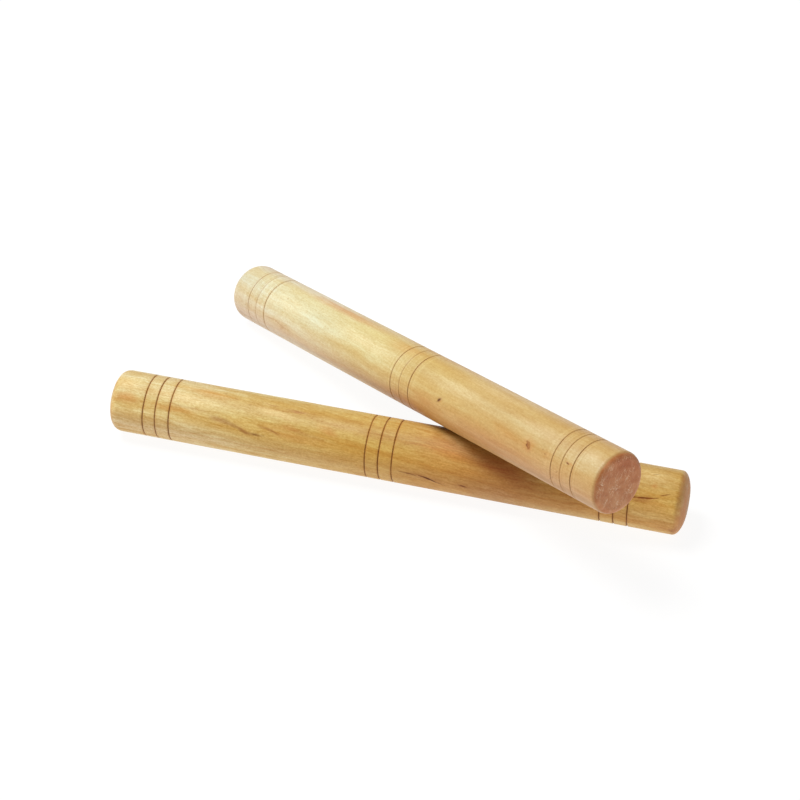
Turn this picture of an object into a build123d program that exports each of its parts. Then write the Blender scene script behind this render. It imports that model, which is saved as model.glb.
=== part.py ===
from build123d import *
import os
from math import asin, cos, degrees, radians, sin, sqrt

# A pair of claves: two solid turned hardwood sticks, one lying flat and the
# other leaning across it with its far end down on the same surface.
# Millimetres, +Z up. The origin is on the supporting surface, under the centre
# of the pair's box. +X runs along the lying stick.

# ---------------------------------------------------------------- dimensions
LOWER_D = 25.0              # diameter of the lying stick
UPPER_D = 24.35             # diameter of the leaning stick, turned a hair thinner

# Ends, measured along each stick from its middle groove.
LOWER_LEFT = 112.2
LOWER_RIGHT = 119.7
UPPER_FAR = 115.0
UPPER_NEAR = 111.6

# Sanded-over ends. The right end of the lying stick is crowned, so its
# rounding takes more off the face than off the length.
LOWER_LEFT_ROUND = 3.9
LOWER_RIGHT_ROUND_LONG = 4.1
LOWER_RIGHT_ROUND_DEEP = 9.5
UPPER_FAR_ROUND = 4.1
UPPER_NEAR_ROUND = 2.5

# Wire-burnt ring grooves: three sets of three, cut by eye, so no two gaps match.
LOWER_GROOVES = (-97.4, -92.1, -86.5, -5.3, 0.0, 5.5, 87.7, 93.1, 98.5)
UPPER_GROOVES = (-102.0, -96.4, -90.7, -5.4, 0.0, 5.6, 87.8, 92.9, 98.4)
LOWER_GROOVE_W = 0.64       # groove mouth
LOWER_GROOVE_DEPTH = 0.36
UPPER_GROOVE_W = 0.52
UPPER_GROOVE_DEPTH = 0.28

# How the pair lies.
UPPER_HEADING = -34.584     # plan angle of the leaning stick's axis from +X
LOWER_CROSSING = 30.4       # where the sticks cross, from the lower middle groove
UPPER_CROSSING = 27.2       # the same point, from the upper middle groove
TOUCH_GAP = 0.15            # working gap between the two round surfaces
TIP_GAP = 0.02              # height of the leaning stick's far rim over the surface


# ---------------------------------------------------------------- one stick
def stick(radius, left, right, grooves, width, depth, left_round, right_long, right_deep):
    """A turned stick along X with its middle groove at x = 0."""
    outline = []
    # left end: face, then its rounded rim
    outline.append(Line((-left, 0), (-left, radius - left_round)))
    outline.append(
        ThreePointArc(
            (-left, radius - left_round),
            (
                -left + left_round * (1 - sqrt(0.5)),
                radius - left_round * (1 - sqrt(0.5)),
            ),
            (-left + left_round, radius),
        )
    )
    # barrel, with a rounded groove at each ring
    x = -left + left_round
    for g in grooves:
        outline.append(Line((x, radius), (g - width / 2, radius)))
        outline.append(
            ThreePointArc(
                (g - width / 2, radius), (g, radius - depth), (g + width / 2, radius)
            )
        )
        x = g + width / 2
    outline.append(Line((x, radius), (right - right_long, radius)))
    # right end: quarter-ellipse rim, then its face
    outline.append(
        EllipticalCenterArc(
            (right - right_long, radius - right_deep),
            right_long,
            right_deep,
            start_angle=0,
            arc_size=90,
        )
    )
    outline.append(Line((right, radius - right_deep), (right, 0)))
    outline.append(Line((right, 0), (-left, 0)))
    half_section = make_face(outline)
    return revolve(half_section, Axis.X).solid()


def extent(*pieces):
    """Lowest and highest corner of several pieces together."""
    boxes = [piece.bounding_box() for piece in pieces]
    lo = Vector(*(min(getattr(b.min, a) for b in boxes) for a in "XYZ"))
    hi = Vector(*(max(getattr(b.max, a) for b in boxes) for a in "XYZ"))
    return lo, hi


lower_r = LOWER_D / 2
upper_r = UPPER_D / 2


# ---------------------------------------------------------------- how it leans
def resting(lean):
    """Middle-groove point of the leaning stick, and its far rim's lowest height."""
    h, p = radians(UPPER_HEADING), radians(lean)
    axis = Vector(cos(h) * cos(p), sin(h) * cos(p), sin(p))
    across = Vector(0, sin(p), -sin(h) * cos(p)).normalized()
    crossing = Vector(LOWER_CROSSING, 0, lower_r) + across * (
        lower_r + upper_r + TOUCH_GAP
    )
    middle = crossing - axis * UPPER_CROSSING
    rim = middle - axis * (UPPER_FAR - UPPER_FAR_ROUND)
    low = rim.Z - (upper_r - UPPER_FAR_ROUND) * cos(p) - UPPER_FAR_ROUND
    return middle, low


steep, shallow = 20.0, 2.0
for _ in range(60):
    lean = (steep + shallow) / 2
    if resting(lean)[1] < TIP_GAP:
        steep = lean
    else:
        shallow = lean
middle, tip_height = resting(lean)

# ---------------------------------------------------------------- both sticks
lower = stick(
    lower_r, LOWER_LEFT, LOWER_RIGHT, LOWER_GROOVES, LOWER_GROOVE_W,
    LOWER_GROOVE_DEPTH, LOWER_LEFT_ROUND, LOWER_RIGHT_ROUND_LONG,
    LOWER_RIGHT_ROUND_DEEP,
)
upper = stick(
    upper_r, UPPER_FAR, UPPER_NEAR, UPPER_GROOVES, UPPER_GROOVE_W,
    UPPER_GROOVE_DEPTH, UPPER_FAR_ROUND, UPPER_NEAR_ROUND, UPPER_NEAR_ROUND,
)
lower = Pos(0, 0, lower_r) * lower
upper = Pos(middle.X, middle.Y, middle.Z) * Rot(0, 0, UPPER_HEADING) * Rot(0, -lean, 0) * upper

lo, hi = extent(lower, upper)
shift = Pos(-(lo.X + hi.X) / 2, -(lo.Y + hi.Y) / 2, 0)
lower = shift * lower
upper = shift * upper

os.makedirs("parts", exist_ok=True)
for name, piece in (("lower_clave", lower), ("upper_clave", upper)):
    piece.label = name
    export_step(piece, f"parts/{name}.step")

# ---------------------------------------------------------------- printout
lo, hi = extent(lower, upper)
print("lean", round(lean, 4), "far rim height", round(tip_height, 4))
print("shift", round(shift.position.X, 4), round(shift.position.Y, 4))
print("box", lo, hi, "size", hi - lo)
print("lower middle groove at", round(shift.position.X, 4), round(shift.position.Y, 4), lower_r)
print(
    "upper middle groove at",
    round(middle.X + shift.position.X, 4),
    round(middle.Y + shift.position.Y, 4),
    round(middle.Z, 4),
)
print("distance between the sticks", round(lower.distance_to(upper), 4))
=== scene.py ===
from math import atan2, cos, degrees, pi, radians, sin, sqrt

import bpy
import bmesh
import numpy as np
from mathutils import Matrix, Vector


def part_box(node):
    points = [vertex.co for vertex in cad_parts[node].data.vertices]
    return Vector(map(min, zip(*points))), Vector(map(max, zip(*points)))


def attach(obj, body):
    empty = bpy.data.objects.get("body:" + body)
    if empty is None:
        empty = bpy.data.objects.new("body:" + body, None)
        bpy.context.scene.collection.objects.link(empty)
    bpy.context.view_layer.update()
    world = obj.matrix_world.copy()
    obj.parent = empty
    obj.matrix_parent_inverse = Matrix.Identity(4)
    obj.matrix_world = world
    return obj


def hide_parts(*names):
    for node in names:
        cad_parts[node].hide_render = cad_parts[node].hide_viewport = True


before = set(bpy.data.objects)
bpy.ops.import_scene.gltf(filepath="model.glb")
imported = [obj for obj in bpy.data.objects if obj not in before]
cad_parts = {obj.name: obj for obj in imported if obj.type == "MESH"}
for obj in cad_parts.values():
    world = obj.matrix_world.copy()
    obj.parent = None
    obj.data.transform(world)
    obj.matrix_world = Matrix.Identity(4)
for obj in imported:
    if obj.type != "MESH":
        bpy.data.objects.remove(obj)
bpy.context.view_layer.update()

MM = 0.001

# ------------------------------------------------------------------ the sticks
# The same design numbers as the CAD, in millimetres.
LOWER = dict(
    r=12.5, left=112.2, right=119.7,
    left_deep=3.9, left_long=3.9, right_deep=9.5, right_long=4.1,
    grooves=(-97.4, -92.1, -86.5, -5.3, 0.0, 5.5, 87.7, 93.1, 98.5),
    width=0.64, depth=0.36,
    # how deep and how scorched each ring came out
    cut=(0.95, 0.95, 1.0, 0.9, 1.0, 1.0, 0.95, 0.95, 1.05),
    burn=(0.95, 0.95, 1.0, 0.9, 0.95, 0.95, 1.0, 1.0, 1.05),
)
UPPER = dict(
    r=12.175, left=115.0, right=111.6,
    left_deep=4.1, left_long=4.1, right_deep=2.5, right_long=2.5,
    grooves=(-102.0, -96.4, -90.7, -5.4, 0.0, 5.6, 87.8, 92.9, 98.4),
    width=0.52, depth=0.28,
    cut=(0.75, 0.55, 1.0, 1.0, 0.6, 1.05, 1.0, 0.8, 1.05),
    burn=(0.62, 0.50, 0.80, 0.80, 0.60, 0.95, 0.78, 0.66, 0.90),
)
HEADING, CROSS_LOWER, CROSS_UPPER, GAP, TIP = -34.584, 30.4, 27.2, 0.15, 0.02

lo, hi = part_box("lower_clave")
ORIGIN = Vector((lo[0] / MM + LOWER["left"], (lo[1] + hi[1]) / 2 / MM, lo[2] / MM + LOWER["r"]))


def resting(lean):
    h, p = radians(HEADING), radians(lean)
    axis = Vector((cos(h) * cos(p), sin(h) * cos(p), sin(p)))
    across = Vector((0, sin(p), -sin(h) * cos(p))).normalized()
    crossing = ORIGIN + Vector((CROSS_LOWER, 0, 0)) + across * (LOWER["r"] + UPPER["r"] + GAP)
    middle = crossing - axis * CROSS_UPPER
    rim = middle - axis * (UPPER["left"] - UPPER["left_long"])
    low = rim.z - (UPPER["r"] - UPPER["left_deep"]) * cos(p) - UPPER["left_deep"]
    return middle, low


a, b = 20.0, 2.0
for _ in range(60):
    LEAN = (a + b) / 2
    a, b = (LEAN, b) if resting(LEAN)[1] < TIP else (a, LEAN)
MIDDLE = resting(LEAN)[0]
h, p = radians(HEADING), radians(LEAN)
LOWER_AT = Matrix.Translation(ORIGIN)
UPPER_AT = Matrix.Translation(MIDDLE) @ Matrix.Rotation(h, 4, "Z") @ Matrix.Rotation(-p, 4, "Y")

N = 304  # points round a stick


def smooth(x, e0, e1):
    t = np.clip((x - e0) / (e1 - e0), 0, 1)
    return t * t * (3 - 2 * t)


def profile(d, extra):
    """Rows of the turned profile from end to end: position, radius, how far the surface faces the end."""
    rows = []
    R, L = d["r"], d["left"]
    deep, lng = d["left_deep"], d["left_long"]
    for f in (0.06, 0.2, 0.36, 0.52, 0.68, 0.82, 0.93):
        rows.append((-L, (R - deep) * f, 1.0))
    for k in range(15):
        t = k / 14 * pi / 2
        nx, nr = cos(t) / lng, sin(t) / deep
        rows.append((-L + lng * (1 - cos(t)), R - deep * (1 - sin(t)), nx / sqrt(nx * nx + nr * nr)))
    body = set()
    x0, x1 = -L + lng, d["right"] - d["right_long"]
    steps = 118
    for k in range(1, steps):
        body.add(round(x0 + (x1 - x0) * k / steps, 3))
    w = d["width"]
    ring = (-1.45, -0.9, -0.6, -0.46, -0.36, -0.27, -0.18, -0.09, 0.0)
    ring = [t * w / 0.62 for t in ring]
    ring = ring + [-t for t in ring[:-1]]
    for g in d["grooves"]:
        body = {s for s in body if abs(s - g) > 1.25 + 0.3}
        body |= {round(g + t, 3) for t in ring}
    for s0, s1, st in extra:
        body = {s for s in body if not (s0 - 0.2 < s < s1 + 0.2)}
        body |= {round(s0 + k * st, 3) for k in range(int((s1 - s0) / st) + 1)}
    rows += [(s, R, 0.0) for s in sorted(body)]
    deep, lng, X = d["right_deep"], d["right_long"], d["right"]
    for k in range(15):
        t = k / 14 * pi / 2
        nx, nr = sin(t) / lng, cos(t) / deep
        rows.append((X - lng * (1 - sin(t)), R - deep * (1 - cos(t)), nx / sqrt(nx * nx + nr * nr)))
    for f in (0.93, 0.82, 0.68, 0.52, 0.36, 0.2, 0.06):
        rows.append((X, (R - deep) * f, 1.0))
    return np.array(rows)


def make_stick(name, d, at, seed, pits=(), extra=()):
    rng = np.random.default_rng(seed)
    rows = profile(d, extra)
    M = len(rows)
    al = np.arange(N) / N * 2 * pi - pi / 2  # the seam runs along the underside
    S = np.repeat(rows[:, 0:1], N, 1)
    Rr = np.repeat(rows[:, 1:2], N, 1)
    E = np.repeat(rows[:, 2:3], N, 1)
    A = np.repeat(al[None, :], M, 0)
    R = d["r"]
    full = Rr / R

    # hand turning and sanding: the barrel is never quite round or straight
    ph = rng.uniform(0, 2 * pi, 8)
    wave = (
        0.018 * (1 + np.sin(2 * A + ph[0] + S / 37))
        + 0.012 * (1 + np.sin(3 * A + ph[1] - S / 23))
        + 0.010 * (1 + np.sin(S / 7.3 + ph[2] + 0.7 * np.sin(A + ph[3])))
        + 0.006 * (1 + np.sin(5 * A + S / 5.1 + ph[4]))
    )
    Rr = Rr - wave * smooth(full, 0.2, 0.9)

    # ring grooves, each cut by hand: it wanders a little and its depth varies
    burn = np.zeros_like(S)
    halo = np.zeros_like(S)
    w = d["width"]
    for i, g in enumerate(d["grooves"]):
        q = rng.uniform(0, 2 * pi, 5)
        wander = 0.07 * np.sin(A + q[0]) + 0.035 * np.sin(2 * A + q[1]) + 0.02 * np.sin(5 * A + q[2])
        near = np.exp(-((S - g) / 1.6) ** 4)
        t = (S - g) / (w / 2)
        level = 1 + 0.13 * np.sin(2 * A + q[3]) + 0.08 * np.sin(7 * A + q[4])
        cut = np.exp(-np.abs(t / 0.78) ** 2.6) * near
        lip = np.exp(-((np.abs(t) - 1.35) / 0.4) ** 2) * near
        Rr = Rr - (d["depth"] * d["cut"][i] * level * cut - 0.012 * lip) * (np.abs(S - g) < 2.2)
        burn = np.maximum(burn, d["burn"][i] * (0.9 + 0.3 * (level - 1)) * np.exp(-np.abs(t / 0.74) ** 2.4) * near)
        halo = np.maximum(halo, d["burn"][i] * np.exp(-np.abs(t / 2.1) ** 2) * near)
        S = S + wander * near

    # small handling dents and the knots' pits
    for s0, a0, ls, lt, depth in pits:
        da = (A - radians(a0) + pi) % (2 * pi) - pi
        Rr = Rr - depth * np.exp(-(((S - s0) / ls) ** 2 + (da * R / lt) ** 2))
    for _ in range(14):
        s0 = rng.uniform(-d["left"] * 0.9, d["right"] * 0.9)
        a0 = rng.uniform(-pi, pi)
        ls, lt, depth = rng.uniform(1.8, 4.5), rng.uniform(1.2, 2.6), rng.uniform(0.02, 0.055)
        da = (A - a0 + pi) % (2 * pi) - pi
        Rr = Rr - depth * np.exp(-(((S - s0) / ls) ** 2 + (da * R / lt) ** 2))

    # sanded faces: a trace of saw chatter and a softened middle
    left_face = (S < -d["left"] + 0.001)
    right_face = (S > d["right"] - 0.001)
    y, z = Rr * np.cos(A), Rr * np.sin(A)
    chatter = 0.03 * np.sin(y * 0.9 + 0.4 * z + ph[5]) + 0.02 * np.sin(z * 1.7 - y * 0.5 + ph[6])
    fade = smooth(np.maximum(R - d["right_deep"] - Rr, 0), 0, 2.0)
    S = np.where(right_face, S - (0.05 + chatter) * fade, S)
    fade = smooth(np.maximum(R - d["left_deep"] - Rr, 0), 0, 2.0)
    S = np.where(left_face, S + (0.05 + chatter) * fade, S)

    pts = np.stack([S, Rr * np.cos(A), Rr * np.sin(A)], -1).reshape(-1, 3)
    poles = np.array([[S[0].mean(), 0, 0], [S[-1].mean(), 0, 0]])
    local = np.concatenate([pts, poles])
    m = np.array(at)
    world = (local @ m[:3, :3].T + m[:3, 3]) * MM

    j = np.arange(N)
    j1 = (j + 1) % N
    quads = np.concatenate([
        np.stack([i * N + j, i * N + j1, (i + 1) * N + j1, (i + 1) * N + j], -1) for i in range(M - 1)
    ])
    quads = quads[:, ::-1]
    P0, P1 = M * N, M * N + 1
    fan0 = np.stack([np.full(N, P0), j, j1], -1)
    fan1 = np.stack([np.full(N, P1), (M - 1) * N + j1, (M - 1) * N + j], -1)
    mesh = bpy.data.meshes.new(name)
    mesh.from_pydata(world.tolist(), [], quads.tolist() + fan0.tolist() + fan1.tolist())
    mesh.update()

    bm = bmesh.new()
    bm.from_mesh(mesh)
    bm.normal_update()
    if bm.calc_volume(signed=True) < 0:
        bmesh.ops.reverse_faces(bm, faces=bm.faces)
    bm.to_mesh(mesh)
    bm.free()
    mesh.polygons.foreach_set("use_smooth", [True] * len(mesh.polygons))

    def layer(label, values, kind="FLOAT"):
        at_ = mesh.attributes.new(label, kind, "POINT")
        key = "vector" if kind == "FLOAT_VECTOR" else "value"
        at_.data.foreach_set(key, np.ascontiguousarray(values, dtype=np.float32).ravel())

    layer("wood", local, "FLOAT_VECTOR")
    layer("burn", np.concatenate([burn.ravel(), [0, 0]]))
    layer("halo", np.concatenate([halo.ravel(), [0, 0]]))
    layer("endgrain", np.concatenate([E.ravel(), [1, 1]]))

    # flat layout of the surface: two half barrels, one over the other, and the two ends beside them
    arc = np.concatenate([[0], np.cumsum(np.hypot(np.diff(rows[:, 0]), np.diff(rows[:, 1])))]) + rows[0, 1]
    total = arc[-1] + rows[-1, 1]
    cutl, cutr = 7 + 9, M - 1 - (7 + 8)          # rows where the end discs begin
    if name.startswith("lower"):
        cutr = M - 1 - (7 + 6)
    mid = int(np.argmin(np.abs(rows[:, 0])))
    around = 2 * pi * R
    size = 2 * around + 6.0

    def uv_of(i, jj, face_row):
        """Corner of the face between rows face_row and face_row + 1."""
        if face_row < cutl or face_row >= cutr:
            left = face_row < cutl
            rad = arc[i] if left else total - arc[i]
            c = (size - 19.5, 20.0 if left else 62.0)
            ang = al[jj % N]
            return ((c[0] + rad * cos(ang)) / size, (c[1] + rad * sin(ang)) / size)
        if face_row < mid:
            return ((2 + arc[i] - arc[cutl]) / size, (2 + jj / N * around) / size)
        return ((2 + arc[i] - arc[mid]) / size, (4 + around + jj / N * around) / size)

    uv = mesh.uv_layers.new(name="OFBake")
    flat = np.zeros((len(mesh.loops), 2), dtype=np.float32)
    vert = np.zeros(len(mesh.loops), dtype=np.int64)
    mesh.loops.foreach_get("vertex_index", vert)
    for poly in mesh.polygons:
        ls = range(poly.loop_start, poly.loop_start + poly.loop_total)
        vs = [int(vert[l]) for l in ls]
        if max(vs) >= P0:
            left = P0 in vs
            c = (size - 19.5, 20.0 if left else 62.0)
            for l, v in zip(ls, vs):
                if v >= P0:
                    flat[l] = (c[0] / size, c[1] / size)
                else:
                    i, jj = divmod(v, N)
                    rad = arc[i] if left else total - arc[i]
                    flat[l] = ((c[0] + rad * cos(al[jj])) / size, (c[1] + rad * sin(al[jj])) / size)
            continue
        rows_ = [v // N for v in vs]
        cols = [v % N for v in vs]
        wrap = max(cols) - min(cols) > 2
        r0 = min(rows_)
        for l, i, jj in zip(ls, rows_, cols):
            flat[l] = uv_of(i, N if wrap and jj == 0 else jj, r0)
    uv.data.foreach_set("uv", flat.ravel())

    o = bpy.data.objects.new(name, mesh)
    bpy.context.scene.collection.objects.link(o)
    return o


# ------------------------------------------------------------------ materials
def srgb(r, g, b):
    f = lambda c: (c / 255 / 12.92) if c / 255 <= 0.04045 else ((c / 255 + 0.055) / 1.055) ** 2.4
    return (f(r), f(g), f(b), 1.0)


class Graph:
    """A short hand for building node trees."""

    def __init__(self, tree):
        self.t = tree

    def new(self, kind, **kw):
        n = self.t.nodes.new(kind)
        for k, v in kw.items():
            setattr(n, k, v)
        return n

    def put(self, socket, value):
        if hasattr(value, "is_output"):
            self.t.links.new(value, socket)
        else:
            socket.default_value = value

    def attr(self, name, vector=False):
        n = self.new("ShaderNodeAttribute", attribute_name=name)
        return n.outputs["Vector" if vector else "Fac"]

    def m(self, op, a, b=0.0, c=0.0, clamp=False):
        n = self.new("ShaderNodeMath", operation=op, use_clamp=clamp)
        for s, v in zip(n.inputs, (a, b, c)):
            self.put(s, v)
        return n.outputs[0]

    def v(self, op, a, b=(0, 0, 0), scale=None):
        n = self.new("ShaderNodeVectorMath", operation=op)
        self.put(n.inputs[0], a)
        if op == "SCALE":
            self.put(n.inputs["Scale"], scale)
        elif op not in ("LENGTH", "NORMALIZE"):
            self.put(n.inputs[1], b)
        return n.outputs["Value" if op in ("LENGTH", "DOT_PRODUCT", "DISTANCE") else "Vector"]

    def xyz(self, x, y, z):
        n = self.new("ShaderNodeCombineXYZ")
        for s, v in zip(n.inputs, (x, y, z)):
            self.put(s, v)
        return n.outputs[0]

    def split(self, vec):
        n = self.new("ShaderNodeSeparateXYZ")
        self.put(n.inputs[0], vec)
        return n.outputs[0], n.outputs[1], n.outputs[2]

    def noise(self, vec, stretch=(1, 1, 1), detail=2.0, rough=0.5, offset=(0, 0, 0), colour=False, distort=0.0):
        q = self.v("MULTIPLY_ADD", vec, stretch)
        q.node.inputs[2].default_value = offset
        n = self.new("ShaderNodeTexNoise", noise_dimensions="3D")
        self.put(n.inputs["Vector"], q)
        n.inputs["Scale"].default_value = 1.0
        n.inputs["Detail"].default_value = detail
        n.inputs["Roughness"].default_value = rough
        n.inputs["Distortion"].default_value = distort
        return n.outputs["Color" if colour else 0]

    def rng(self, x, a, b, c=0.0, d=1.0, kind="SMOOTHSTEP"):
        n = self.new("ShaderNodeMapRange", interpolation_type=kind)
        for s, v in zip(n.inputs, (x, a, b, c, d)):
            self.put(s, v)
        return n.outputs[0]

    def mix(self, f, a, b, blend="MIX"):
        n = self.new("ShaderNodeMix", data_type="RGBA", blend_type=blend)
        self.put(n.inputs[0], f)
        self.put(n.inputs[6], a)
        self.put(n.inputs[7], b)
        return n.outputs[2]

    def ramp(self, f, stops, kind="EASE"):
        n = self.new("ShaderNodeValToRGB")
        n.color_ramp.interpolation = kind
        e = n.color_ramp.elements
        e[0].position, e[0].color = stops[0]
        e[1].position, e[1].color = stops[-1]
        for p_, c_ in stops[1:-1]:
            k = e.new(p_)
            k.color = c_
        self.put(n.inputs[0], f)
        return n.outputs[0]

    def spot(self, vec, R, s, a, long, wide, tilt=0.0, soft=0.0):
        """1 at a place on the stick (s along it, a degrees round it), 0 outside an oval about it."""
        a = radians(a)
        out = Vector((0, cos(a), sin(a)))
        t = Vector((0, -sin(a), cos(a)))
        ax = Vector((1, 0, 0)) * cos(radians(tilt)) + t * sin(radians(tilt))
        side = out.cross(ax)
        rot = Matrix((ax, side, out)).transposed().to_euler("XYZ")
        n = self.new("ShaderNodeMapping", vector_type="TEXTURE")
        self.put(n.inputs["Vector"], vec)
        n.inputs["Location"].default_value = Vector((s, 0, 0)) + out * R
        n.inputs["Rotation"].default_value = rot
        n.inputs["Scale"].default_value = (long, wide, max(wide, 3.0))
        d_ = self.v("LENGTH", n.outputs[0])
        return self.rng(d_, 1.0, soft, 0.0, 1.0)


def half(r, g, b):
    """A colour multiplier, stored at half its value so that it can go over 1."""
    return (r / 2, g / 2, b / 2, 1.0)


def chain(R, points):
    """A line of overlapping oval marks through points (s, a, half width, strength)."""
    out = []
    for (s0, a0, w0, k0), (s1, a1, w1, k1) in zip(points, points[1:]):
        ds, da = s1 - s0, radians(a1 - a0) * R
        out.append(((s0 + s1) / 2, (a0 + a1) / 2, sqrt(ds * ds + da * da) * 1.05, (w0 + w1) / 2, degrees(atan2(da, ds)), 0.3, (k0 + k1) / 2))
    return out


def wood(name, R, tones, marks, ring, seed, burn_tones, end_tones, end_edge, gloss, sheen):
    mat = bpy.data.materials.new(name)
    mat.use_nodes = True
    tree = mat.node_tree
    tree.nodes.clear()
    g = Graph(tree)
    P = g.attr("wood", True)
    x, y, z = g.split(P)
    o = (seed * 3.7, seed * 1.9, seed * 5.3)

    # the fibres creep round the stick a little as they run along it, and wander
    turn = g.new("ShaderNodeVectorRotate", rotation_type="X_AXIS")
    g.put(turn.inputs["Vector"], P)
    g.put(turn.inputs["Angle"], g.m("MULTIPLY", x, -tones["spiral"]))
    F = turn.outputs[0]
    slow = g.v("SUBTRACT", g.noise(F, (1 / 80, 1 / 20, 1 / 20), 2, 0.5, o, True), (0.5, 0.5, 0.5))
    quick = g.v("SUBTRACT", g.noise(F, (1 / 17, 1 / 6, 1 / 6), 2, 0.5, o, True), (0.5, 0.5, 0.5))
    wander = g.v("MULTIPLY", quick, (0, tones["wavy"], tones["wavy"]))
    W = g.v("ADD", F, wander)
    Q = g.v("ADD", W, g.v("MULTIPLY", slow, (0, 9.0, 9.0)))
    qx, qy, qz = g.split(Q)

    # growth rings about a heart that lies outside the stick and drifts along it
    yc, zc, ty, tz, gap = ring
    ry = g.m("SUBTRACT", qy, g.m("MULTIPLY_ADD", x, ty, yc))
    rz = g.m("SUBTRACT", qz, g.m("MULTIPLY_ADD", x, tz, zc))
    rad = g.m("SQRT", g.m("ADD", g.m("MULTIPLY", ry, ry), g.m("MULTIPLY", rz, rz)))
    phase = g.m("FRACT", g.m("DIVIDE", rad, gap))
    late = g.ramp(phase, [(0.0, (0, 0, 0, 1)), (0.45, (0.12, 0.12, 0.12, 1)), (0.82, (0.8, 0.8, 0.8, 1)), (0.93, (1, 1, 1, 1)), (1.0, (0, 0, 0, 1))])
    year = g.noise(g.xyz(g.m("DIVIDE", rad, gap * 1.7), g.m("MULTIPLY", x, 0.004), 0.0), (1, 1, 1), 1, 0.5, o)
    late = g.m("MULTIPLY", late, g.rng(year, 0.35, 0.7, 0.15, 1.0))

    # broad bands, streaks, flecked figure, fine fibre and pores. The wood's colour moves along
    # one line, from pale cream to deep orange, so they all add up to one tone.
    o2 = (o[2] + 11.0, o[0] + 5.0, o[1] + 3.0)
    band = g.noise(Q, (1 / 95, 1 / 6.0, 1 / 6.0), 3, 0.55, o)
    swath = g.noise(Q, (1 / 130, 1 / 4.5, 1 / 4.5), 2, 0.55, o2)
    streak = g.noise(Q, (1 / 32, 1 / 1.5, 1 / 1.5), 5, 0.64, o)
    vein = g.noise(Q, (1 / 46, 1 / 2.2, 1 / 2.2), 3, 0.58, o2)
    mott = g.noise(W, (1 / 11, 1 / 4.0, 1 / 4.0), 4, 0.6, o)
    fibre = g.noise(W, (1 / 7, 1 / 0.55, 1 / 0.55), 3, 0.62, o)
    curl = g.noise(F, (1 / 3.2, 1 / 9, 1 / 9), 2, 0.5, o)
    stipple = g.noise(F, (1 / 1.0, 1 / 0.6, 1 / 0.6), 2, 0.6, o)
    pore = g.rng(g.noise(W, (1 / 1.9, 1 / 0.18, 1 / 0.18), 1, 0.5, o), 0.68, 0.80, 0.0, 1.0)

    tone = 0.5
    for part, k in zip((band, swath, streak, vein, mott), tones["mixing"]):
        tone = g.m("MULTIPLY_ADD", g.m("SUBTRACT", part, 0.5), k, tone)
    tone = g.m("MULTIPLY_ADD", late, tones["mixing"][5], tone, clamp=True)
    # the colour changes along the stick, palest at one end and warmer towards the other; on the lower stick the dark
    # dip in this ramp is painted shadow of the leaning stick
    col = g.ramp(g.rng(x, -120, 120, 0, 1, "LINEAR"), tones["along"], "EASE")
    # and round the stick the colour is partly wood tone and partly painted light and shade: lighter on some sides and
    # darker on others as the light falls there
    light_side_turn = g.new("ShaderNodeVectorRotate", rotation_type="X_AXIS")
    g.put(light_side_turn.inputs["Vector"], P)
    light_side_turn.inputs["Angle"].default_value = radians(-120)
    fx, fy, fz = g.split(light_side_turn.outputs[0])
    about = g.m("MULTIPLY_ADD", g.m("ARCTAN2", fz, fy), 1 / (2 * pi), 0.5)
    about = g.m("MULTIPLY_ADD", g.m("SUBTRACT", mott, 0.5), 0.06, about, clamp=True)
    for f, stops in ((about, tones["around"]), (tone, tones["shift"])):
        col = g.mix(1.0, col, g.v("SCALE", g.ramp(f, stops, "LINEAR"), scale=2.0), "MULTIPLY")

    # placed marks: soft tinted areas, then streaks, then small dark marks
    Pm = g.v("ADD", P, g.v("MULTIPLY", g.v("SUBTRACT", g.noise(P, (1 / 9, 1 / 3, 1 / 3), 2, 0.5, o, True), (0.5, 0.5, 0.5)), (5.0, 2.4, 2.4)))
    Pf = g.v("ADD", P, g.v("MULTIPLY", g.v("SUBTRACT", g.noise(P, (1 / 3.0, 1 / 0.9, 1 / 0.9), 1, 0.5, o, True), (0.5, 0.5, 0.5)), (1.0, 0.35, 0.35)))
    grainy = g.rng(streak, 0.25, 0.65, 0.45, 1.0)
    # the masks are worked out a few at a time, each lot waiting for the one before (by way of a
    # millionth of a millimetre), so that the shader never has to hold many values at once
    masks, last = {}, None
    for kind, vec in (("dark", Pf), ("line", Pf), ("brown", Pm), ("warm", Pm), ("pale", Pm)):
        out = None
        for n, q in enumerate(marks[kind]):
            if n % 5 == 0:
                place = vec
                if last is not None:
                    place = g.v("MULTIPLY_ADD", last, (1e-6, 1e-6, 1e-6))
                    g.put(place.node.inputs[2], vec)
            k = g.m("MULTIPLY", g.spot(place, R, *q[:5], q[5] if len(q) > 6 else 0.0), q[-1])
            out = last = k if out is None else g.m("MAXIMUM", out, k)
        masks[kind] = out
    for kind, how in (("pale", grainy), ("warm", grainy), ("brown", grainy), ("line", 1.0), ("dark", 1.0)):
        col = g.mix(g.m("MULTIPLY", masks[kind], how), col, tones["mark_" + kind])
    pits = masks["dark"]

    # fine fibre, on the same line of colour
    fine = g.m("MULTIPLY", g.m("SUBTRACT", fibre, 0.5), tones["fibre"])
    fine = g.m("MULTIPLY_ADD", g.m("SUBTRACT", curl, 0.5), tones["curl"], fine)
    fine = g.m("MULTIPLY_ADD", g.m("SUBTRACT", stipple, 0.5), tones["stipple"], fine)
    fine = g.m("MULTIPLY_ADD", pore, -tones["pore"], fine)
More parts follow.
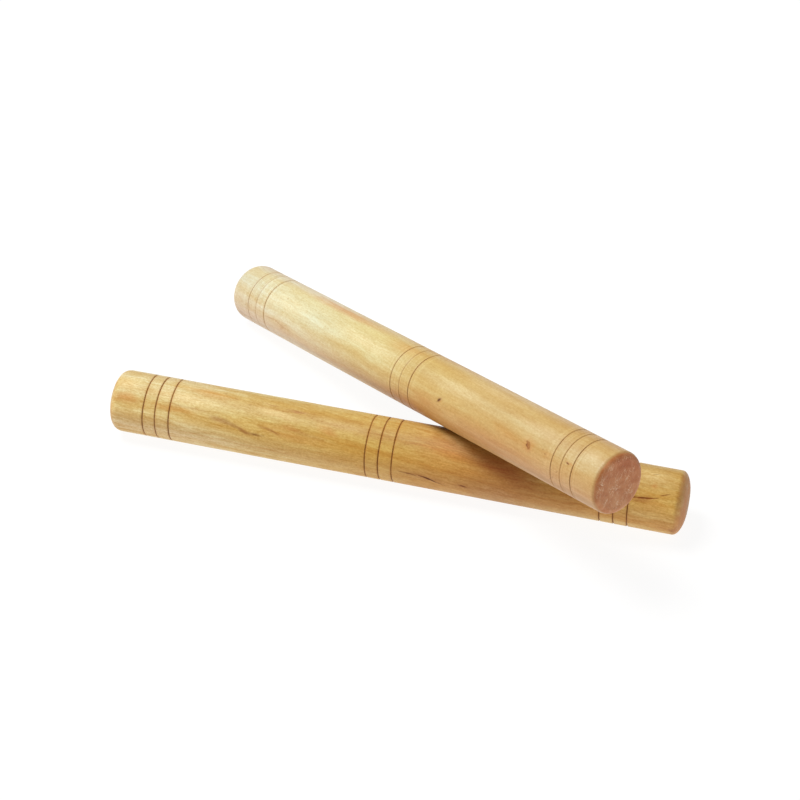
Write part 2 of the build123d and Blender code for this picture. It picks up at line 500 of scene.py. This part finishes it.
    # the tool left a fine ribbing either side of each trio of rings
    lathe = g.noise(P, (1 / 0.75, 1 / 40, 1 / 40), 1, 0.5, o)
    near = None
    for c in (-96.0, 0.0, 93.0):
        k = g.rng(g.m("ABSOLUTE", g.m("SUBTRACT", x, c)), 10.5, 7.5)
        near = k if near is None else g.m("MAXIMUM", near, k)
    fine = g.m("MULTIPLY_ADD", g.m("MULTIPLY", g.m("SUBTRACT", lathe, 0.5), near), tones["ribs"], fine)
    col = g.mix(1.0, col, g.xyz(g.m("MULTIPLY_ADD", fine, 0.65, 1.0), g.m("MULTIPLY_ADD", fine, 1.1, 1.0), g.m("MULTIPLY_ADD", fine, 1.9, 1.0)), "MULTIPLY")

    # end grain: darker, with faint rings, rays and sanding scratches
    facing = g.rng(g.m("ADD", g.attr("endgrain"), g.m("MULTIPLY", g.m("SUBTRACT", mott, 0.5), end_tones["ragged"])), end_edge[0], end_edge[1])
    heart = g.m("ARCTAN2", rz, ry)
    rays = g.noise(g.xyz(g.m("MULTIPLY", heart, 95.0), g.m("MULTIPLY", rad, 0.42), x), (1, 1, 1), 2, 0.55, o)
    blot = g.noise(P, (1 / 6, 1 / 5.0, 1 / 5.0), 3, 0.6, o)
    grit = g.noise(P, (1, 1 / 0.30, 1 / 0.30), 2, 0.6, o)
    face = g.ramp(g.m("ADD", blot, g.m("MULTIPLY", late, 0.10)), [(0.30, end_tones["light"]), (0.52, end_tones["mid"]), (0.75, end_tones["deep"])], "LINEAR")
    rot = g.new("ShaderNodeVectorRotate", rotation_type="X_AXIS")
    g.put(rot.inputs["Vector"], P)
    rot.inputs["Angle"].default_value = 0.62
    scratch1 = g.noise(rot.outputs[0], (0.2, 1 / 0.30, 1 / 2.3), 1, 0.5, (o[0], 9.1, 3.3))
    rot2 = g.new("ShaderNodeVectorRotate", rotation_type="X_AXIS")
    g.put(rot2.inputs["Vector"], P)
    rot2.inputs["Angle"].default_value = -0.75
    scratch2 = g.noise(rot2.outputs[0], (0.2, 1 / 0.30, 1 / 2.0), 1, 0.5, (o[0], 2.1, 7.3))
    flecks = g.m("MAXIMUM", g.rng(scratch1, 0.60, 0.71), g.rng(scratch2, 0.61, 0.73))
    flecks = g.m("MULTIPLY", flecks, g.rng(g.noise(P, (0.1, 1 / 3.2, 1 / 3.2), 1, 0.5, (o[2], 1.0, 4.0)), 0.38, 0.62))
    # the left-hand end faces, which face the lamp, are darkened and cooled by the left tone; the right-hand faces, in
    # shade, keep face tones painted lighter: lit and shaded copies of the end grain
    face = g.mix(g.rng(x, 20, -20), face, g.mix(1.0, face, end_tones["left"], "MULTIPLY"))
    face = g.mix(g.m("MULTIPLY", g.rng(rays, 0.5, 0.72), 0.22), face, end_tones["ray"])
    face = g.mix(flecks, face, end_tones["ray"])
    gs = g.m("MULTIPLY_ADD", g.m("SUBTRACT", grit, 0.5), 0.48, 1.0)
    face = g.mix(1.0, face, g.xyz(gs, gs, gs), "MULTIPLY")
    # the face shades from one side to the other by the heart tone; on the lower stick this is painted sheen, paler
    # and greyer towards the top of each end face, and on the upper stick it turns redder towards one side
    side = g.rng(g.v("DOT_PRODUCT", P, end_tones["toward"]), -5.0, 9.0)
    face = g.mix(side, face, g.v("SCALE", g.mix(1.0, face, end_tones["heart"], "MULTIPLY"), scale=2.0))
    col = g.mix(facing, col, face)
    # rim: a redder band just inside the rounded edge, strongest at the right-hand ends; on the upper stick it is
    # darker, on the lower stick its edge colour is kept bright so that it paints light onto the shaded right shoulder
    rim = g.m("MULTIPLY", g.rng(g.attr("endgrain"), end_tones["rim_from"], end_edge[0] + 0.05), g.rng(g.attr("endgrain"), 0.998, end_edge[1]))
    rim = g.m("MULTIPLY", rim, g.rng(blot, 0.36, 0.60, 0.6, 1.0))
    rim = g.m("MULTIPLY", rim, g.rng(x, -20, 20, end_tones["rim"][0], end_tones["rim"][1]))
    col = g.mix(rim, col, end_tones["edge"])

    # wire-burnt rings
    burn = g.attr("burn")
    charred = g.noise(P, (1 / 0.7, 1 / 1.4, 1 / 1.4), 2, 0.6, o)
    col = g.mix(g.m("MULTIPLY", g.attr("halo"), burn_tones["halo_k"]), col, burn_tones["halo"])
    bk = g.m("MULTIPLY", burn, g.rng(charred, 0.25, 0.75, 0.72, 1.12, "LINEAR"), clamp=True)
    col = g.mix(g.rng(bk, 0.05, 0.80, 0.0, 0.96), col, burn_tones["char"])

    # oiled satin: fibres and pores break the gloss, char and end grain are dull
    rough = g.m("ADD", gloss, g.m("MULTIPLY", g.m("SUBTRACT", streak, 0.5), 0.16))
    rough = g.m("ADD", rough, g.m("MULTIPLY", g.m("SUBTRACT", mott, 0.5), 0.14))
    rough = g.m("ADD", rough, g.m("MULTIPLY", pore, 0.10))
    rough = g.m("ADD", rough, g.m("MULTIPLY", facing, 0.14))
    rough = g.m("ADD", rough, g.m("MULTIPLY", bk, 0.25), clamp=True)
    rough = g.m("MULTIPLY_ADD", pits, 0.35, rough, clamp=True)

    height = g.m("MULTIPLY", fibre, 0.55)
    height = g.m("ADD", height, g.m("MULTIPLY", streak, 0.5))
    height = g.m("SUBTRACT", height, g.m("MULTIPLY", pore, 0.5))
    height = g.m("ADD", height, g.m("MULTIPLY", lathe, g.m("MULTIPLY_ADD", near, 0.5, 0.12)))
    height = g.m("ADD", height, g.m("MULTIPLY", g.m("MULTIPLY", grit, facing), 0.6))
    height = g.m("SUBTRACT", height, g.m("MULTIPLY", pits, 0.3))
    bump = g.new("ShaderNodeBump")
    bump.inputs["Strength"].default_value = 0.55
    bump.inputs["Distance"].default_value = 0.00010
    g.put(bump.inputs["Height"], height)

    bsdf = g.new("ShaderNodeBsdfPrincipled")
    g.put(bsdf.inputs["Base Color"], col)
    g.put(bsdf.inputs["Roughness"], rough)
    g.put(bsdf.inputs["Normal"], bump.outputs[0])
    bsdf.inputs["IOR"].default_value = 1.46
    bsdf.inputs["Specular IOR Level"].default_value = sheen
    out = g.new("ShaderNodeOutputMaterial")
    tree.links.new(bsdf.outputs[0], out.inputs[0])
    return mat


lower_wood = wood(
    "honey_wood", LOWER["r"],
    tones=dict(
        # the dark stop at 0.70 (48 mm right of the middle), with its neighbours, paints the shadow the leaning stick
        # casts across this stick
        along=[(0.0, srgb(215, 189, 130)), (0.16, srgb(214, 186, 124)), (0.30, srgb(207, 173, 101)), (0.48, srgb(202, 161, 83)), (0.60, srgb(196, 149, 76)), (0.70, srgb(178, 130, 69)), (0.80, srgb(188, 144, 76)), (0.90, srgb(208, 168, 94)), (1.0, srgb(212, 172, 96))],
        # round the stick: near 0.33 a painted bluish sheen along the top edge, near 0.48 painted shade over the
        # highlight band, 0.60 to 0.75 painted light on the underside; the rest is wood tone
        around=[(0.0, half(1.0, 0.99, 0.92)), (0.26, half(0.97, 0.99, 0.98)), (0.333, half(0.94, 1.05, 1.42)), (0.42, half(0.97, 1.03, 1.12)), (0.483, half(0.88, 0.88, 0.79)), (0.54, half(0.99, 0.97, 0.84)), (0.60, half(1.11, 1.00, 0.80)), (0.69, half(1.18, 1.07, 1.13)), (0.75, half(1.10, 1.02, 1.0)), (1.0, half(1.0, 0.99, 0.92))],
        shift=[(0.0, half(1.20, 1.44, 1.98)), (0.25, half(1.10, 1.22, 1.48)), (0.5, half(1.0, 1.0, 1.0)), (0.75, half(0.90, 0.79, 0.60)), (1.0, half(0.80, 0.62, 0.36))],
        mixing=(0.92, 1.00, 0.74, 0.60, 0.38, 0.08), spiral=0.0052, wavy=3.6,
        mark_pale=srgb(230, 202, 138), mark_warm=srgb(202, 136, 62), mark_brown=srgb(160, 88, 40),
        mark_line=srgb(134, 66, 0), mark_dark=srgb(90, 36, 0), fibre=0.76, curl=0.12, stipple=0.74, pore=0.32, ribs=0.10,
    ),
    # each mark: along, round, half length, half width, tilt, strength
    marks=dict(
        # pale: the mark at 28.3 mm, 98.5 degrees paints light into the start of the leaning stick's shadow
        pale=[(-107, 104, 9, 5, 0, 0.6), (-80, 117, 22, 4.0, 3, 0.6), (-43, 112, 12, 2.6, 8, 0.75), (-18, 112, 14, 3.0, 4, 0.35),
              (-15, -165, 45, 4, 4, 0.3), (106, 96, 12, 5.5, 0, 0.75), (28.3, 98.5, 9, 3.2, 24, 0.85), (-68, 178, 44, 0.9, 1.5, 0.55), (-56, 187, 50, 0.8, 1.5, 0.6), (-48, 197, 44, 1.0, 1, 0.55)],
        # warm: the mark at 28 mm, 100 degrees paints light into the start of that shadow; those at 28 mm, 125 degrees
        # and 45 mm, 150 degrees tint the shadow under the leaning stick redder, painted shadow
        warm=[(-105, 133, 9, 3.2, 0, 0.7), (-84, 137, 16, 2.2, 0, 0.5), (-72, 93, 16, 3.0, 5, 0.4), (-21.5, 127, 8, 2.4, 14, 0.6),
              (-35, 147, 22, 4, 4, 0.45), (-36, 136, 7, 2.4, 6, 0.5), (28, 100, 8, 3, 24, 0.4), (28, 125, 20, 8, 0, 0.6), (45, 150, 24, 7, 0, 0.5), (106.8, 117, 2.4, 1.8, 60, 0.6),
              (-58, 183, 46, 0.9, 1.5, 0.4), (106, 152, 9, 4.5, 0, 0.5), (116.6, 114, 2.4, 9, 0, 0.25), (113, 195, 8, 6, 0, 0.6)],
        # brown: the marks at 30, 50 and 52.5 mm paint the shadow the leaning stick casts across this stick
        brown=[(-64, 144, 9, 1.6, 12, 0.6), (-56, 153.5, 6, 1.6, 24, 0.65), (-30, 140, 16, 1.2, 6, 0.35), (-78, 131, 14, 1.0, 2, 0.35), (-44, 146, 8, 0.7, 12, 0.5), (-35.5, 99.5, 7, 0.9, 0, 0.6), (-47, 95, 6, 0.6, 4, 0.4), (18, 180, 11, 1.9, 6, 0.5),
               # the brown mark at 117.2 mm, 203 degrees is painted shade, darkening the underside of the right
               # shoulder
               (30, 108, 16, 5, 12, 0.3), (50, 139, 24, 6, 16, 0.8), (52.5, 141, 14, 2.4, 16, 0.45), (103, 143, 7, 1.7, -8, 0.5), (117.2, 203, 4.0, 5.5, 0, 0.8), (34.6, 184.8, 4.5, 1.2, 8, 0.4)],
        line=chain(12.5, [(9.0, 177.0, 0.34, 0.45), (11.4, 177.9, 0.48, 0.85), (13.3, 178.2, 0.44, 0.75), (15.4, 179.6, 0.28, 0.4)])
        + chain(12.5, [(16.6, 178.2, 0.26, 0.5), (19.0, 180.2, 0.62, 1.0), (21.4, 183.6, 0.58, 1.0), (23.4, 187.0, 0.34, 0.85), (25.9, 189.8, 0.28, 0.65), (27.4, 191.5, 0.2, 0.4)])
        + chain(12.5, [(-68.5, 139.6, 1.2, 0.05), (-64.2, 141.8, 1.3, 0.22), (-60.6, 145.6, 1.2, 0.32), (-57.6, 151.0, 1.0, 0.30), (-55.4, 155.0, 0.95, 0.36), (-53.4, 157.0, 0.85, 0.36), (-51.4, 157.4, 0.85, 0.40)])
        + chain(12.5, [(-52.0, 157.2, 0.8, 0.40), (-50.3, 157.8, 1.0, 0.58), (-48.4, 157.6, 0.75, 0.45), (-46.4, 156.6, 0.6, 0.12)])
        + chain(12.5, [(-48.6, 140.6, 0.7, 0.10), (-45.6, 143.0, 0.75, 0.22), (-42.6, 146.0, 0.65, 0.22), (-40.0, 147.8, 0.5, 0.08)])
        + chain(12.5, [(99.2, 143.4, 0.34, 0.7), (101.6, 142.4, 0.44, 0.95), (104.4, 141.3, 0.46, 1.0), (107.4, 139.5, 0.40, 0.9), (109.2, 137.6, 0.22, 0.45)])
        + chain(12.5, [(110.2, 132.6, 0.26, 0.7), (111.4, 130.8, 0.36, 0.85), (113.2, 127.8, 0.3, 0.7)])
        + [(107.0, 92.3, 2.4, 0.3, -22, 0.55), (111.0, 87.6, 2.2, 0.25, -15, 0.35), (34.4, 184.6, 2.4, 0.55, 10, 0.3, 0.8),
           (-66.4, 86, 1.3, 0.4, 10, 0.5), (-60.8, 96, 1.4, 0.4, 5, 0.5), (-54.8, 104, 1.2, 0.35, 5, 0.4),
           (116.7, 83.3, 1.0, 0.8, 40, 0.2, 0.28), (116.6, 131.1, 1.1, 0.7, 20, 0.2, 0.28), (116.8, 142.6, 0.7, 0.9, 0, 0.2, 0.25)],
        dark=[(-50.4, 157.6, 1.2, 0.55, 10, 0.2, 0.42)]
        + chain(12.5, [(18.0, 179.2, 0.2, 0.5), (19.7, 180.9, 0.46, 1.0), (21.3, 183.2, 0.40, 0.95), (22.8, 186.2, 0.14, 0.5)])
        + [(34.3, 184.6, 1.4, 0.36, 10, 0.3, 0.55), (103.8, 141.5, 2.6, 0.26, -6, 0.7)],
    ),
    ring=(-7.0, 46.0, 0.035, -0.03, 3.1), seed=3,
    burn_tones=dict(char=srgb(138, 84, 36), halo=srgb(190, 130, 62), halo_k=0.35),
    end_tones=dict(light=srgb(204, 154, 106), mid=srgb(196, 142, 95), deep=srgb(183, 128, 83), ray=srgb(226, 192, 150), edge=srgb(217, 143, 80), left=srgb(224, 234, 240), toward=(0.0, 0.26, 0.97), heart=half(1.10, 1.17, 1.28), rim=(0.2, 0.62), rim_from=0.18, ragged=0.22),
    end_edge=(0.80, 0.99), gloss=0.50, sheen=0.36,
)
upper_wood = wood(
    "cream_wood", UPPER["r"],
    tones=dict(
        along=[(0.0, srgb(214, 198, 165)), (0.22, srgb(219, 205, 164)), (0.40, srgb(212, 188, 130)), (0.56, srgb(205, 171, 107)), (0.74, srgb(202, 165, 103)), (0.88, srgb(204, 167, 109)), (1.0, srgb(206, 170, 113))],
        # round the stick: partly wood tone, partly painted light and shade on the sides as the light falls
        around=[(0.0, half(0.97, 0.90, 0.88)), (0.27, half(0.97, 0.94, 0.90)), (0.333, half(0.93, 0.89, 0.92)), (0.42, half(1.0, 1.03, 0.93)), (0.5, half(0.94, 1.04, 1.09)), (0.575, half(1.06, 1.11, 1.13)), (0.64, half(1.08, 0.99, 0.90)), (0.69, half(1.12, 0.94, 0.88)), (0.72, half(0.98, 0.82, 0.78)), (1.0, half(0.97, 0.90, 0.88))],
        shift=[(0.0, half(1.20, 1.44, 1.98)), (0.25, half(1.10, 1.22, 1.48)), (0.5, half(1.0, 1.0, 1.0)), (0.75, half(0.90, 0.79, 0.60)), (1.0, half(0.80, 0.62, 0.36))],
        mixing=(0.62, 0.62, 0.16, 0.14, 0.20, 0.04), spiral=0.0032, wavy=2.6,
        mark_pale=srgb(240, 224, 176), mark_warm=srgb(204, 143, 78), mark_brown=srgb(178, 108, 52),
        mark_line=srgb(146, 84, 34), mark_dark=srgb(84, 40, 6), fibre=0.42, curl=0.09, stipple=0.50, pore=0.18, ribs=0.42,
    ),
    marks=dict(
        # pale: these marks paint the highlight band along the top of the stick (114 to 132 degrees) and a pale sheen
        # higher up towards the top edge
        pale=[(-80, 125, 26, 5, 0, 0.5), (-25, 122, 32, 4.5, 0, 0.45), (30, 122, 26, 4, 0, 0.4), (46, 88, 34, 5, 0, 0.3), (50, 68, 50, 4.5, 0, 0.35), (45, 132, 40, 4, 0, 0.12), (76, 116, 18, 4, 0, 0.25), (104, 114, 6, 5, 0, 0.3)],
        warm=[(-50, 77, 42, 4.2, 0, 0.75), (-6, 92, 16, 5, 0, 0.35), (-77, 176, 9, 4, 0, 0.45), (18, 174, 17, 6, 0, 0.6), (12, 192, 26, 5, 0, 0.9), (54, 184, 46, 6.5, 0, 0.85), (36, 196, 30, 4, 0, 0.5),
              (74.6, 149, 5.6, 4.4, 0, 0.8), (64, 152, 12, 5, 0, 0.35), (97.6, 145.2, 1.1, 0.8, 0, 0.9), (84, 148.5, 4, 2.4, 0, 0.35), (90, 180, 8, 3, 0, 0.35)],
        brown=[(95.7, 145.0, 1.6, 0.9, 10, 0.55), (24.0, 153.4, 2.4, 1.0, -40, 0.5), (75.6, 152.5, 2.4, 1.6, 60, 0.5)]
        + chain(12.175, [(-89.4, 170.7, 0.45, 0.4), (-82.2, 168.4, 0.55, 0.45), (-76.6, 174.8, 0.45, 0.4), (-79, 183, 0.4, 0.2)]),
        line=[(74.5, 148.4, 1.3, 1.7, 0, 0.35, 0.6)] + chain(12.175, [(73.7, 142.6, 0.42, 0.5), (73.9, 146.6, 0.5, 0.8), (74.3, 150.4, 0.56, 1.0), (75.4, 154.6, 0.34, 0.7)])
        + chain(12.175, [(73.9, 142.6, 0.3, 0.4), (75.2, 145.4, 0.36, 0.65), (75.9, 149.0, 0.36, 0.6), (75.7, 153.6, 0.3, 0.6)])
        + [(74.9, 148.9, 2.2, 1.1, 68, 0.2, 0.42), (95.8, 145.0, 1.3, 0.5, 12, 0.95), (82.4, 143.5, 0.7, 0.4, 0, 0.5), (84.1, 148.8, 0.8, 0.45, 20, 0.6), (85.6, 153.4, 0.6, 0.35, 0, 0.5),
           (-79.8, 118, 0.8, 0.5, 0, 0.35), (89, 183, 1.6, 0.3, -45, 0.45), (91.6, 168, 1.6, 0.3, -50, 0.4), (87, 192, 1.4, 0.28, -45, 0.35)],
        dark=[(24.1, 153.3, 1.9, 0.8, -40, 1.0), (23.6, 155.2, 0.9, 0.6, -40, 0.9), (95.4, 144.8, 0.7, 0.32, 12, 0.8), (74.1, 150.2, 0.9, 0.42, 62, 0.55)],
    ),
    ring=(30.0, 38.0, 0.03, 0.02, 2.6), seed=7,
    burn_tones=dict(char=srgb(140, 90, 40), halo=srgb(206, 156, 92), halo_k=0.28),
    end_tones=dict(light=srgb(222, 156, 106), mid=srgb(207, 134, 84), deep=srgb(192, 114, 66), ray=srgb(248, 212, 172), edge=srgb(178, 112, 54), left=srgb(210, 228, 240), toward=(0.0, 0.77, 0.64), heart=half(0.99, 0.86, 0.78), rim=(0.15, 0.6), rim_from=0.15, ragged=0.10),
    end_edge=(0.50, 0.70), gloss=0.43, sheen=0.50,
)

# ------------------------------------------------------------------ pieces
lower = make_stick(
    "lower_stick", LOWER, LOWER_AT, 11,
    pits=[(-50.1, 157.3, 1.0, 0.5, 0.10), (18.9, 179.9, 1.3, 0.34, 0.12), (20.4, 181.8, 1.2, 0.36, 0.16), (21.8, 184.2, 1.1, 0.34, 0.14), (34.4, 184.6, 1.4, 0.38, 0.10), (104.0, 141.4, 2.4, 0.30, 0.08)],
    extra=[(-52.0, -48.4, 0.6), (16.0, 25.0, 0.6), (32.6, 36.2, 0.6)],
)
lower.data.materials.append(lower_wood)
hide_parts("lower_clave")
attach(lower, "lower_clave")
upper = make_stick(
    "upper_stick", UPPER, UPPER_AT, 23,
    pits=[(24.1, 153.2, 1.0, 0.7, 0.16), (74.8, 149.0, 1.3, 1.6, 0.07), (95.8, 145.0, 0.9, 0.45, 0.06)],
    extra=[(22.4, 25.6, 0.4), (73.0, 76.6, 0.6)],
)
upper.data.materials.append(upper_wood)
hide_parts("upper_clave")
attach(upper, "upper_clave")

# ------------------------------------------------------------------ the stage
me = bpy.data.meshes.new("floor")
me.from_pydata([(-4, -4, 0), (4, -4, 0), (4, 4, 0), (-4, 4, 0)], [], [(0, 1, 2, 3)])
floor = bpy.data.objects.new("floor", me)
bpy.context.scene.collection.objects.link(floor)
fm = bpy.data.materials.new("floor_paper")
fm.use_nodes = True
fb = fm.node_tree.nodes["Principled BSDF"]
fb.inputs["Base Color"].default_value = (0.13, 0.13, 0.13, 1)
fb.inputs["Roughness"].default_value = 0.9
fb.inputs["Specular IOR Level"].default_value = 0.1
fb.inputs["Emission Color"].default_value = (1, 1, 1, 1)
fb.inputs["Emission Strength"].default_value = 0.91
me.materials.append(fm)

# a white studio: bright where it is seen behind the sticks, softer as fill light
world = bpy.data.worlds.new("studio")
bpy.context.scene.world = world
world.use_nodes = True
wt = world.node_tree
bg = wt.nodes["Background"]
bg.inputs["Color"].default_value = (1, 1, 1, 1)
path = wt.nodes.new("ShaderNodeLightPath")
level = wt.nodes.new("ShaderNodeMapRange")
wt.links.new(path.outputs["Is Camera Ray"], level.inputs[0])
level.inputs["To Min"].default_value = 0.27
level.inputs["To Max"].default_value = 1.0
wt.links.new(level.outputs[0], bg.inputs["Strength"])


def softbox(name, at, aim, w, hgt, power, colour=(1, 1, 1)):
    L = bpy.data.lights.new(name, "AREA")
    L.shape = "RECTANGLE"
    L.size, L.size_y = w, hgt
    L.energy = power
    L.color = colour
    ob = bpy.data.objects.new(name, L)
    ob.location = at
    ob.rotation_euler = (Vector(aim) - Vector(at)).to_track_quat("-Z", "Y").to_euler()
    bpy.context.scene.collection.objects.link(ob)
    return ob


softbox("key", (-0.32, 0.0, 0.74), (0, 0, 0.02), 0.42, 0.42, 6.4, (1.0, 0.985, 0.965))

# ------------------------------------------------------------------ camera
cam = bpy.data.cameras.new("camera")
cam_o = bpy.data.objects.new("camera", cam)
bpy.context.scene.collection.objects.link(cam_o)
right = Vector((0.96132007, 0.27543368, 0.0))
up = Vector((-0.17300531, 0.60382403, 0.77811677))
back = right.cross(up)
place = Vector((14.72472568, -49.79857843, 44.87298264)) * 12.5 + Vector((ORIGIN.x, ORIGIN.y, 0))
rot = Matrix((right, up, back)).transposed().to_4x4()
cam_o.matrix_world = Matrix.Translation(place * MM) @ rot
cam.sensor_fit = "HORIZONTAL"
cam.sensor_width = 36
cam.lens = 36 * 2165.3949 / 800
cam.clip_start, cam.clip_end = 0.01, 50
bpy.context.scene.camera = cam_o

bpy.context.scene.view_settings.view_transform = "Standard"
bpy.context.scene.view_settings.look = "None"
